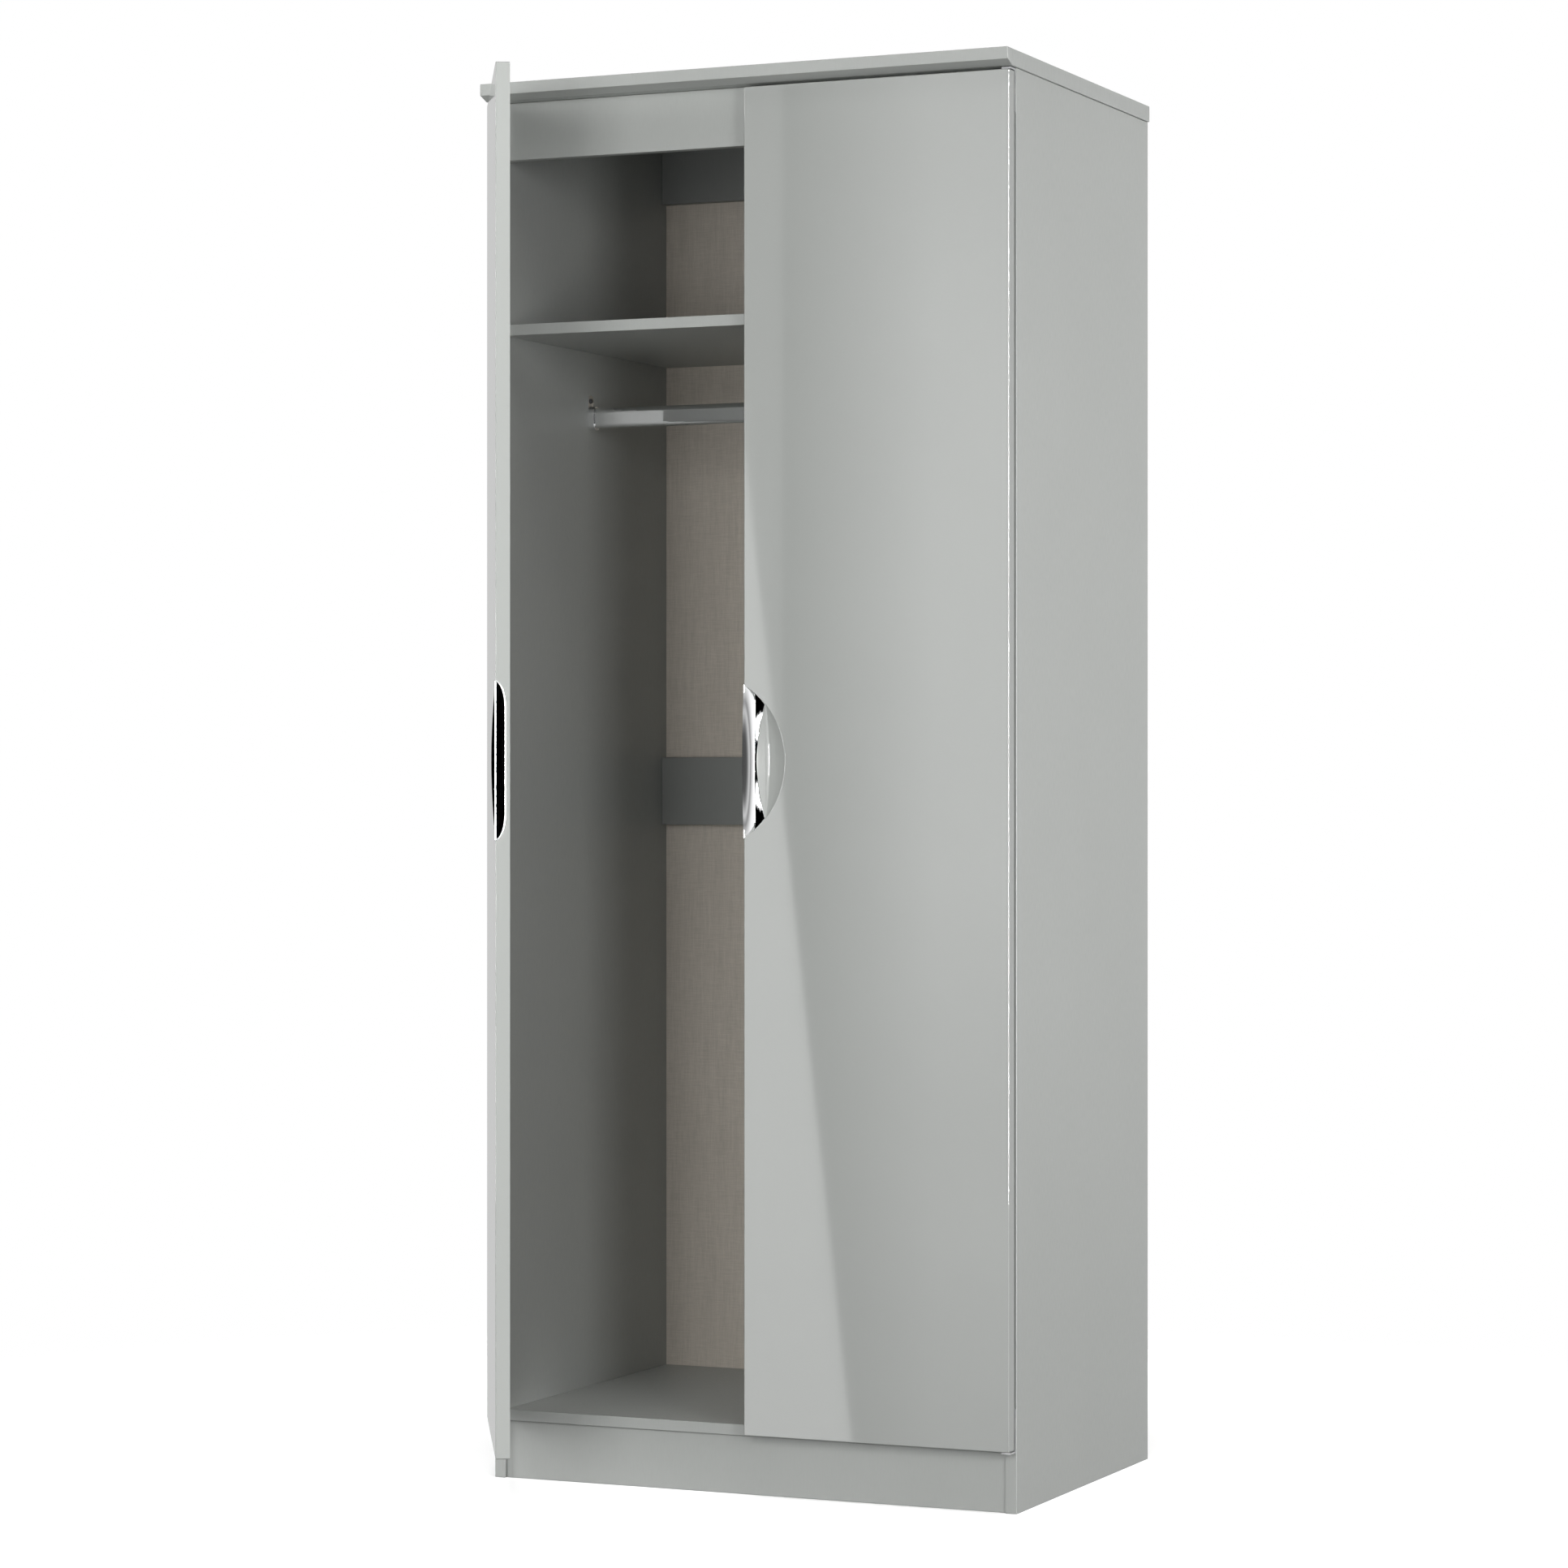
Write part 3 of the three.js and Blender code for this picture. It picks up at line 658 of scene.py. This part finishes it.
def bead(side, depth_at):
    """A slim round bead on the meeting edge, from the top of the handle to its bottom."""
    path = [(depth_at(z), z) for z in row_heights()]

    def build(bm):
        rings = []
        for row in range(1, len(path) - 1):
            along = Vector(path[row + 1]) - Vector(path[row - 1])
            across = Vector((along.y, -along.x)).normalized()
            ring = []
            for step in range(BEAD_STEPS):
                turn = 2 * math.pi * step / BEAD_STEPS
                x = place_x(side, BEAD_INSET + BEAD_RADIUS * math.cos(turn))
                depth, height = Vector(path[row]) + BEAD_RADIUS * math.sin(turn) * across
                ring.append(bm.verts.new((x, DOOR_FACE + depth, DOOR_MIDDLE + height)))
            rings.append(ring)
        for near, far in zip(rings, rings[1:]):
            for step in range(BEAD_STEPS):
                after = (step + 1) % BEAD_STEPS
                bm.faces.new((near[step], near[after], far[after], far[step]))
        bm.faces.new(rings[0])
        bm.faces.new(rings[-1])

    made = mesh_object("bead", build)
    smooth(made, BEAD_CREASE)
    return made


for name, side in SIDES:
    leaf = door(side)
    leaf.name = f"{name}_door_leaf"
    settle(leaf, f"{name}_door", "gloss_door", f"{name}_door")
    grip = chrome_piece(side)
    grip.name = f"{name}_handle_grip"
    settle(grip, f"{name}_door", "handle_chrome", f"{name}_handle")
    for place, depth_at in (("front", lambda z: 0.0), ("rear", plate_depth)):
        line = bead(side, depth_at)
        line.name = f"{name}_handle_{place}_bead"
        settle(line, f"{name}_door", "handle_chrome", f"{name}_handle")

# ---------------------------------------------------------------- finer copies of the other nodes

REDRAWN = ("left_door", "right_door", "left_handle", "right_handle")
ROUNDING = {"grey_board": 0.8 * MM, "dark_board": 0.8 * MM, "linen_board": 0.3 * MM}
ROUNDING_SEGMENTS = 3
ROUNDED_FROM = 50                                 # degrees between faces whose edge is rounded
FINE_CREASE = 46
FLAT_WITHIN = 0.3                                 # degrees between faces that are joined to one


def finer_copy(node_name, rounding):
    """A copy of a CAD node with its flat faces whole, its edges rounded and its curves shaded smooth."""
    made = mesh_object(f"{node_name}_fine", lambda bm: bm.from_mesh(nodes[node_name].data))
    bm = bmesh.new()
    bm.from_mesh(made.data)
    bmesh.ops.remove_doubles(bm, verts=bm.verts, dist=TINY)
    bmesh.ops.dissolve_limit(bm, angle_limit=math.radians(FLAT_WITHIN), verts=bm.verts, edges=bm.edges)
    bm.to_mesh(made.data)
    bm.free()
    if rounding:
        bevel = made.modifiers.new("bevel", "BEVEL")
        bevel.width = rounding
        bevel.segments = ROUNDING_SEGMENTS
        bevel.limit_method = "ANGLE"
        bevel.angle_limit = math.radians(ROUNDED_FROM)
        bevel.use_clamp_overlap = True
        apply_modifiers(made)
        low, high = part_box(node_name)
        for vert in made.data.vertices:
            vert.co = Vector(min(max(vert.co[i], low[i]), high[i]) for i in range(3))
    smooth(made, FINE_CREASE)
    return made


def settle_as_packed(made, node_name, slot):
    """Gives a copy of a CAD node the material of its slot and its body, and hides the node. It is already
    in its place.
    """
    made.data.materials.clear()
    made.data.materials.append(MATERIALS[slot])
    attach(made, nodes[node_name]["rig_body"])
    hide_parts(node_name)


for node_name in list(nodes):
    if node_name in REDRAWN:
        continue
    slot_name = SLOT_OF[node_name]
    piece = finer_copy(node_name, ROUNDING.get(slot_name, 0.0))
    settle_as_packed(piece, node_name, slot_name)

# ---------------------------------------------------------------- studio

# Azimuth 0 is straight in front of the wardrobe and 90 is to its right. Powers are in watts.
AIM_HEIGHT = 0.95
FLOOR_RADIUS = 1.9
FLOOR_SEGMENTS = 96
FLOOR_FADE = (1.0, 1.8)                           # the floor melts into the white round it
FLOOR_PALE = (0.90, 0.90, 0.90, 1)
FLOOR_CLOUD = (0.885, 0.885, 0.885, 1)
SOFTBOX_DISTANCE = 4.0
SOFTBOX_SIZE = (0.9, 2.4)
SOFTBOX_RISE = 4
SOFTBOXES = {110: 84, 140: 15, 2: 55, 12: 34, 24: 8, 48: 55, -70: 105}    # azimuth: power
UNSEEN = (2, 12, 24, 48)                          # not seen in reflections: the cards and the glint are
GLINT_AZIMUTH = 64
GLINT_POWER = 700
FLOOR_LAMP = {"azimuth": 30, "elevation": 80, "distance": 4.0, "size": (4.0, 4.0), "power": 420}
OVERHEAD = {"azimuth": 30, "elevation": 75, "distance": 3.5, "size": (2.0, 2.0), "power": 42}
DARK_END_AZIMUTH = 31.2                           # the end of the room that the chrome shows as black
DARK_END_SQUEEZE = 2.0                            # it is this many times wider than high
DARK_END_STEPS = [(0.07, 0.0), (0.11, 0.07), (0.19, 0.09), (0.23, 0.20), (0.29, 0.62), (0.33, 0.26),
                  (0.37, 0.62), (0.42, 1.0), (1.6, 1.0), (1.9, 0.62)]      # distance from it: brightness
DARK_END_REACH = 2.5                              # the farthest distance that the steps can name
WORLD_FILL = 0.0                                  # what the room adds to the soft light
CARD_DISTANCE = 3.0
SCOOP_CARD_GAP = 0.05                             # it hangs this much nearer than the tilted card
FRONT_CARD_GAP = 0.01                             # and the front card this much farther away
CARD_FOOT = -1.2
TILTED_CARD_LOW = (-1.1158, -0.3913)              # two places, as (x, z), on its slanting edge
TILTED_CARD_HIGH = (-1.3481, 1.5755)
TILTED_CARD_FAR = -2.6
TILTED_CARD_TOP = 3.2
TILTED_CARD_GLOW = 4.1
SCOOP_CARD_X = (-2.10, -1.82)
SCOOP_CARD_Z = (0.6, 1.25)
SCOOP_CARD_GLOW = 45
FRONT_CARD_X = (-1.27, 0.9)
FRONT_CARD_TOP = 2.8
FRONT_CARD_GLOW = 3.7
FRONT_CARD_FADE_X = [(-1.27, -0.94, 0.0, 1.0), (0.3, 0.9, 1.0, 0.0)]
FRONT_CARD_FADE_Z = [(0.25, 0.75, 0.72, 1.0), (-0.9, 0.0, 0.4, 1.0), (1.8, 2.8, 1.0, 0.5)]


def floor_paint():
    shader = Shader("floor_paint")
    cloud = shader.noise(1.5, 2.0)
    shader.set(
        Base_Color=shader.mix(cloud, FLOOR_PALE, FLOOR_CLOUD),
        Roughness=0.9,
        Specular_IOR_Level=0.1,
    )
    reach = shader.node("ShaderNodeVectorMath", {"operation": "LENGTH"})
    shader.feed(reach, "0", shader.node("ShaderNodeTexCoord").outputs["Object"])
    fade = shader.node("ShaderNodeMapRange", {"interpolation_type": "SMOOTHSTEP"},
                       Value=reach.outputs["Value"])
    fade.inputs["From Min"].default_value, fade.inputs["From Max"].default_value = FLOOR_FADE
    clear = shader.node("ShaderNodeBsdfTransparent")
    blend = shader.node("ShaderNodeMixShader")
    shader.feed(blend, "0", fade.outputs[0])
    shader.feed(blend, "1", shader.bsdf.outputs[0])
    shader.feed(blend, "2", clear.outputs[0])
    out = [node for node in shader.tree.nodes if node.type == "OUTPUT_MATERIAL"][0]
    shader.tree.links.new(blend.outputs[0], out.inputs["Surface"])
    return shader.material


def floor():
    """A pale disc under the wardrobe with a lamp of its own. It sends no light or reflection back."""
    def build(bm):
        bmesh.ops.create_circle(bm, cap_ends=True, radius=FLOOR_RADIUS, segments=FLOOR_SEGMENTS)

    made = mesh_object("floor", build)
    made.data.materials.append(floor_paint())
    made.visible_glossy = False
    made.visible_diffuse = False
    lit = bpy.data.collections.new("floor_only")
    bpy.context.scene.collection.children.link(lit)
    lit.objects.link(made)
    lamp = area("floor_lamp", **FLOOR_LAMP, glossy=False)
    lamp.light_linking.receiver_collection = lit


def area(name, azimuth, elevation, distance, size, power, glossy=True):
    """A softbox that looks at the wardrobe's front."""
    data = bpy.data.lights.new(name, "AREA")
    data.shape = "RECTANGLE"
    data.size, data.size_y = size
    data.energy = power
    lamp = bpy.data.objects.new(name, data)
    bpy.context.scene.collection.objects.link(lamp)
    turn, rise = math.radians(azimuth), math.radians(elevation)
    aim = Vector((CENTRE_X, FRONT_Y, AIM_HEIGHT))
    away = Vector((math.sin(turn) * math.cos(rise), -math.cos(turn) * math.cos(rise), math.sin(rise)))
    lamp.location = aim + away * distance
    lamp.rotation_euler = (-away).to_track_quat("-Z", "Y").to_euler()
    lamp.visible_glossy = glossy
    return lamp


def card(name, distance, corners, strength, fade_x=(), fade_z=()):
    """A glowing card in front of the wardrobe that only shows in reflections.

    Corners are (x, z), with x from the centre line. A fade (start, end, low, high) takes the glow
    from low to high between two places.
    """
    def build(bm):
        verts = [bm.verts.new((CENTRE_X + x, FRONT_Y - distance, z)) for x, z in corners]
        bm.faces.new(verts)

    made = mesh_object(name, build)
    material = bpy.data.materials.new(name)
    material.use_nodes = True
    nodes_of = material.node_tree.nodes
    nodes_of.clear()
    links = material.node_tree.links
    glow = nodes_of.new("ShaderNodeEmission")
    out = nodes_of.new("ShaderNodeOutputMaterial")
    links.new(glow.outputs[0], out.inputs["Surface"])
    split = nodes_of.new("ShaderNodeSeparateXYZ")
    links.new(nodes_of.new("ShaderNodeTexCoord").outputs["Object"], split.inputs[0])
    level = None
    for axis, fade in (("X", fade_x), ("Z", fade_z)):
        for start, end, low, high in fade:
            ramp = nodes_of.new("ShaderNodeMapRange")
            links.new(split.outputs[axis], ramp.inputs["Value"])
            offset = CENTRE_X if axis == "X" else 0.0
            for key, value in (("From Min", start + offset), ("From Max", end + offset),
                               ("To Min", low), ("To Max", high)):
                ramp.inputs[key].default_value = value
            factor = ramp.outputs[0]
            if level is None:
                level = factor
            else:
                times = nodes_of.new("ShaderNodeMath")
                times.operation = "MULTIPLY"
                links.new(level, times.inputs[0])
                links.new(factor, times.inputs[1])
                level = times.outputs[0]
    scaled = nodes_of.new("ShaderNodeMath")
    scaled.operation = "MULTIPLY"
    scaled.inputs[0].default_value = 1.0
    scaled.inputs[1].default_value = strength
    if level is not None:
        links.new(level, scaled.inputs[0])
    links.new(scaled.outputs[0], glow.inputs["Strength"])
    made.data.materials.append(material)
    for ray in ("camera", "diffuse", "shadow", "transmission", "volume_scatter"):
        setattr(made, f"visible_{ray}", False)


def box_corners(x_range, z_range):
    (left, right), (foot, top) = x_range, z_range
    return [(left, foot), (right, foot), (right, top), (left, top)]


def studio_world():
    """White for the camera, dark for soft light, and a white room with one dark end in reflections."""
    world = bpy.data.worlds.new("studio")
    bpy.context.scene.world = world
    world.use_nodes = True
    tree = world.node_tree
    links = tree.links
    background = tree.nodes["Background"]
    background.inputs["Color"].default_value = (1, 1, 1, 1)
    squeeze = tree.nodes.new("ShaderNodeVectorMath")
    squeeze.operation = "MULTIPLY"
    squeeze.inputs[1].default_value = (1, 1, DARK_END_SQUEEZE)
    links.new(tree.nodes.new("ShaderNodeTexCoord").outputs["Generated"], squeeze.inputs[0])
    away = tree.nodes.new("ShaderNodeVectorMath")
    away.operation = "DISTANCE"
    turn = math.radians(DARK_END_AZIMUTH)
    away.inputs[1].default_value = (math.sin(turn), -math.cos(turn), 0)
    links.new(squeeze.outputs[0], away.inputs[0])
    ramp = tree.nodes.new("ShaderNodeValToRGB")
    shrink = tree.nodes.new("ShaderNodeMath")
    shrink.operation = "MULTIPLY"
    links.new(away.outputs["Value"], shrink.inputs[0])
    shrink.inputs[1].default_value = 1 / DARK_END_REACH
    links.new(shrink.outputs[0], ramp.inputs[0])
    elements = ramp.color_ramp.elements
    for index in (0, -1):
        place, level = DARK_END_STEPS[index]
        elements[index].position = place / DARK_END_REACH
        elements[index].color = (level, level, level, 1)
    for place, level in DARK_END_STEPS[1:-1]:
        elements.new(place / DARK_END_REACH).color = (level, level, level, 1)
    rays = tree.nodes.new("ShaderNodeLightPath")
    seen = tree.nodes.new("ShaderNodeMix")
    seen.data_type = "FLOAT"
    links.new(rays.outputs["Is Glossy Ray"], seen.inputs[0])
    seen.inputs[2].default_value = WORLD_FILL
    links.new(ramp.outputs[0], seen.inputs[3])
    shown = tree.nodes.new("ShaderNodeMix")
    shown.data_type = "FLOAT"
    links.new(rays.outputs["Is Camera Ray"], shown.inputs[0])
    links.new(seen.outputs[0], shown.inputs[2])
    shown.inputs[3].default_value = 1.0
    links.new(shown.outputs[0], background.inputs["Strength"])


def tilted_edge(z):
    """The place on the tilted card's edge at a height."""
    (low_x, low_z), (high_x, high_z) = TILTED_CARD_LOW, TILTED_CARD_HIGH
    return (low_x + (high_x - low_x) / (high_z - low_z) * (z - low_z), z)


floor()
for azimuth, watts in SOFTBOXES.items():
    area(f"softbox_{azimuth}", azimuth, SOFTBOX_RISE, SOFTBOX_DISTANCE, SOFTBOX_SIZE, watts,
         glossy=azimuth not in UNSEEN)
area("overhead", **OVERHEAD)
glint = area("glint", GLINT_AZIMUTH, SOFTBOX_RISE, SOFTBOX_DISTANCE, SOFTBOX_SIZE, GLINT_POWER)
glint.visible_diffuse = False                     # only seen in reflections, along the rounded edges
tilted_corners = [tilted_edge(CARD_FOOT), tilted_edge(TILTED_CARD_TOP),
                  (TILTED_CARD_FAR, TILTED_CARD_TOP), (TILTED_CARD_FAR, CARD_FOOT)]
card("tilted_card", CARD_DISTANCE, tilted_corners, TILTED_CARD_GLOW)
card("scoop_card", CARD_DISTANCE - SCOOP_CARD_GAP, box_corners(SCOOP_CARD_X, SCOOP_CARD_Z), SCOOP_CARD_GLOW)
card("front_card", CARD_DISTANCE + FRONT_CARD_GAP, box_corners(FRONT_CARD_X, (CARD_FOOT, FRONT_CARD_TOP)),
     FRONT_CARD_GLOW, FRONT_CARD_FADE_X, FRONT_CARD_FADE_Z)
studio_world()

# ---------------------------------------------------------------- camera

SENSOR_WIDTH_MM = 36.0
FOCAL_LENGTH_MM = 101.244
CAMERA_RIGHT = 2.33256                            # of the centre line
CAMERA_AWAY = 5.14314                             # from the carcass front
CAMERA_HEIGHT = 0.91083
CAMERA_TURN = 23.941                              # degrees to the left of straight ahead

lens = bpy.data.cameras.new("camera")
lens.sensor_width = SENSOR_WIDTH_MM
lens.lens = FOCAL_LENGTH_MM
camera = bpy.data.objects.new("camera", lens)
bpy.context.scene.collection.objects.link(camera)
camera.location = (CENTRE_X + CAMERA_RIGHT, FRONT_Y - CAMERA_AWAY, CAMERA_HEIGHT)
camera.rotation_euler = (math.radians(90), 0, math.radians(CAMERA_TURN))
bpy.context.scene.camera = camera

view = bpy.context.scene.view_settings
view.view_transform = "Standard"
view.look = "None"
